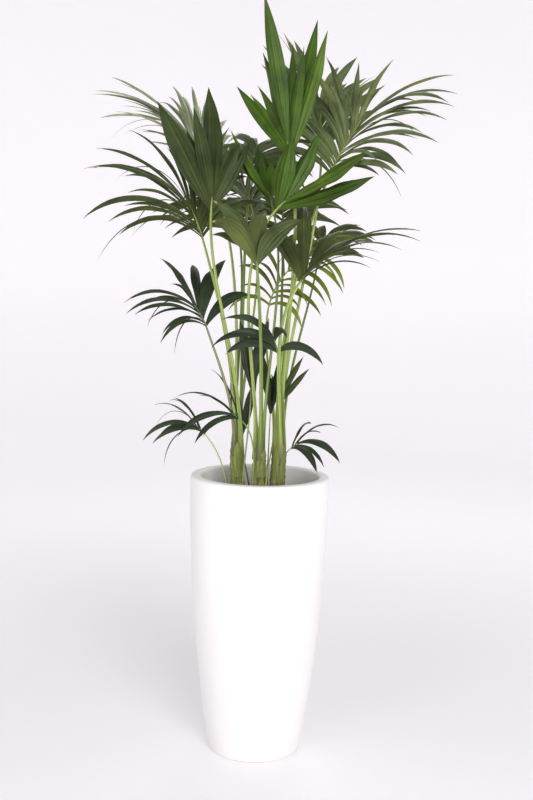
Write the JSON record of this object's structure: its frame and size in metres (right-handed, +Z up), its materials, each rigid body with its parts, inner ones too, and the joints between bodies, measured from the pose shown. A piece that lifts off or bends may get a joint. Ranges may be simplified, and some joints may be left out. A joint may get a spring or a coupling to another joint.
{
  "type": "potted kentia palm",
  "caption": "Young kentia palms in a tall tapered round pot, with upright green petioles and arching feather-shaped fronds.",
  "frame": {"origin": "middle of the pot's flat underside, on the floor", "axes": "+Z up the pot's axis, -Y towards the front, where the picture was taken from, and +X to the right seen from the front"},
  "size_m": [0.8704, 0.8142, 1.857],
  "materials": {
    "pot_white": "matte",
    "soil_dark": "rough and damp",
    "stem_brown": "dry fibrous leaf bases",
    "petiole_green": "satin",
    "leaf_bright": "satin leaf",
    "leaf_olive": "satin leaf",
    "leaf_deep": "satin leaf",
    "leaf_dark": "satin leaf",
    "leaf_grey": "satin leaf",
    "leaf_pale": "satin leaf",
    "leaf_yellow": "satin leaf"
  },
  "bodies": {
    "root": {"pot": "pot_white", "soil": "soil_dark", "stem_left": "stem_brown", "stem_middle": "stem_brown", "stem_right": "stem_brown", "stem_rear_left": "stem_brown", "stem_rear_right": "stem_brown", "petiole_crown_top": "petiole_green", "petiole_crown_right": "petiole_green", "petiole_front_right": "petiole_green", "petiole_low_right": "petiole_green", "petiole_middle": "petiole_green", "petiole_front_middle": "petiole_green", "petiole_inner": "petiole_green", "petiole_left": "petiole_green", "petiole_front_left": "petiole_green", "petiole_low_left": "petiole_green", "petiole_rear_left": "petiole_green", "petiole_rear_top": "petiole_green", "petiole_rear_striped": "petiole_green", "petiole_rear_low": "petiole_green", "petiole_rear_right": "petiole_green", "petiole_rear_drooping": "petiole_green", "petiole_rear_middle": "petiole_green", "petiole_yellow_inner": "petiole_green", "petiole_seedling_middle": "petiole_green", "petiole_seedling_centre": "petiole_green", "petiole_seedling_left": "petiole_green", "petiole_seedling_right": "petiole_green", "petiole_seedling_fan": "petiole_green", "petiole_seedling_low": "petiole_green", "petiole_seedling_edge": "petiole_green", "frond_crown_top": "leaf_bright", "frond_crown_right": "leaf_grey", "frond_front_right": "leaf_deep", "frond_low_right": "leaf_dark", "frond_middle": "leaf_bright", "frond_front_middle": "leaf_deep", "frond_inner": "leaf_bright", "frond_left": "leaf_deep", "frond_front_left": "leaf_olive", "frond_low_left": "leaf_dark", "frond_rear_left": "leaf_pale", "frond_rear_top": "leaf_grey", "frond_rear_striped": "leaf_grey", "frond_rear_low": "leaf_deep", "frond_rear_right": "leaf_grey", "frond_rear_drooping": "leaf_deep", "frond_rear_middle": "leaf_deep", "frond_yellow_inner": "leaf_yellow", "frond_seedling_middle": "leaf_dark", "frond_seedling_centre": "leaf_dark", "frond_seedling_left": "leaf_dark", "frond_seedling_right": "leaf_deep", "frond_seedling_fan": "leaf_dark", "frond_seedling_low": "leaf_dark", "frond_seedling_edge": "leaf_dark"}
  },
  "joints": []
}
